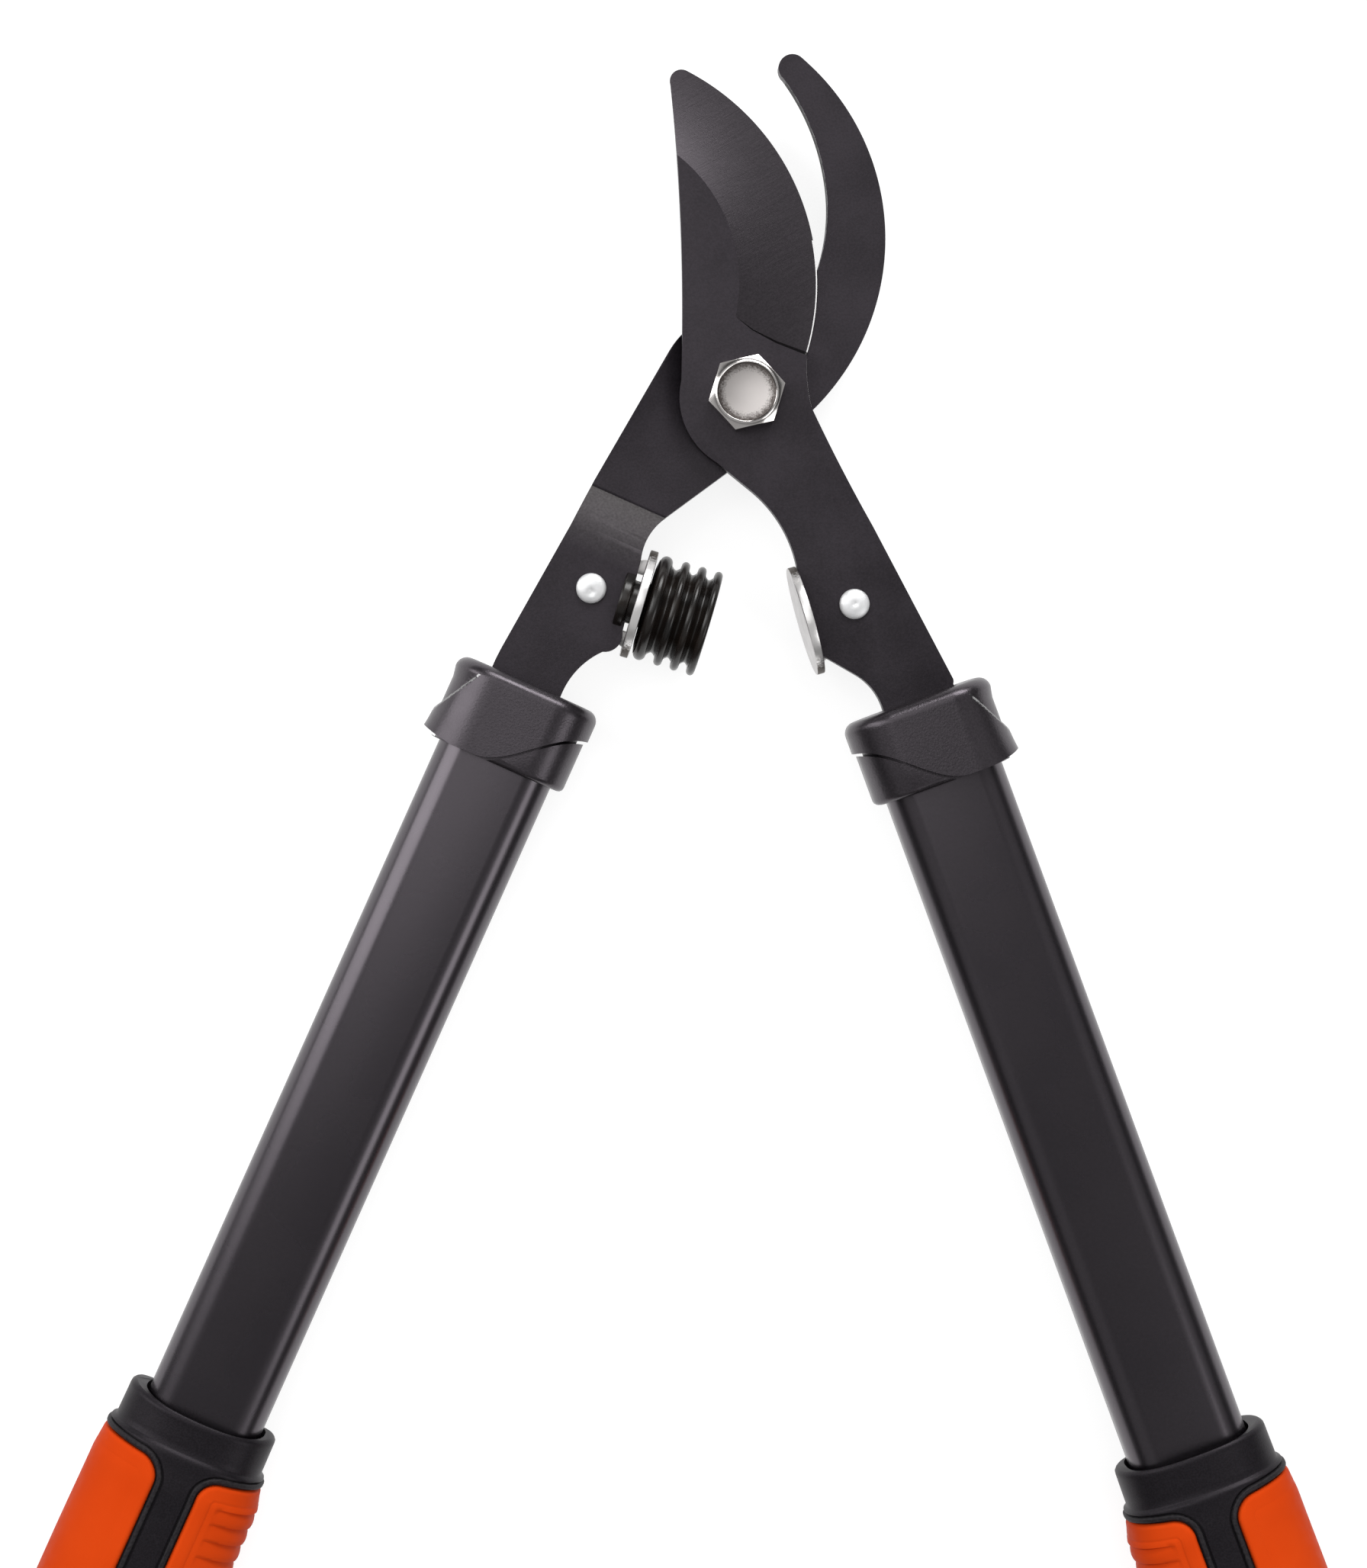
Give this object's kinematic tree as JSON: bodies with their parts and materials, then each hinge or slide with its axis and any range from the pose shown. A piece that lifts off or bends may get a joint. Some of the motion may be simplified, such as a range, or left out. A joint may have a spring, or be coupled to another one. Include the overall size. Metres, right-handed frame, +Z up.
{
  "type": "lopper",
  "caption": "Bypass lopper lying flat with its jaws open: a hollow-ground blade over a hooked jaw, a ribbed rubber bumper, oval tube handles and soft grips.",
  "frame": {"origin": "on the surface that the tool lies on, under the middle of its bounding box", "axes": "+Z up along the pivot, from the nut to the bolt's head; +Y towards the tips of the jaws; +X towards the handle that carries the cutting blade"},
  "size_m": [0.4146, 0.5146, 0.0337],
  "materials": {
    "blade_coating": "black low-friction coating, satin, with the grinding lines showing through",
    "bright_nickel": "nickel plate, satin bright",
    "zinc_plate": "zinc plate, satin, sheared rim",
    "rivet_aluminium": "satin",
    "bumper_rubber": "moulded black rubber, semi-matte",
    "lock_nylon": "nylon, matte",
    "moulded_black": "moulded black plastic, fine texture",
    "tube_paint": "satin black powder coat",
    "pad_orange": "soft orange overmould, matte",
    "bare_steel": "bare steel"
  },
  "bodies": {
    "hook_handle": {"hook_plate": "blade_coating", "pivot_bolt": "bright_nickel", "pivot_washer": "zinc_plate", "pivot_nut": "zinc_plate", "nut_lock_ring": "lock_nylon", "bumper_bracket": "zinc_plate", "bumper_rivet": "rivet_aluminium", "rubber_bumper": "bumper_rubber", "left_tube": "tube_paint", "left_tang_insert": "moulded_black", "left_tube_pin": "bare_steel", "left_ferrule": "moulded_black", "left_grip_core": "moulded_black", "left_outer_pad": "pad_orange", "left_inner_pad": "pad_orange"},
    "blade_handle": {"cutting_blade": "blade_coating", "strike_bracket": "zinc_plate", "strike_rivet": "rivet_aluminium", "right_tube": "tube_paint", "right_tang_insert": "moulded_black", "right_tube_pin": "bare_steel", "right_ferrule": "moulded_black", "right_grip_core": "moulded_black", "right_outer_pad": "pad_orange", "right_inner_pad": "pad_orange"}
  },
  "joints": [
    {"name": "blade_pivot", "type": "hinge", "parent": "hook_handle", "child": "blade_handle", "pos_m": [0.01735, 0.17116, 0.01475], "axis": [0, 0, 1], "range_deg": [-20.3, 98]}
  ]
}
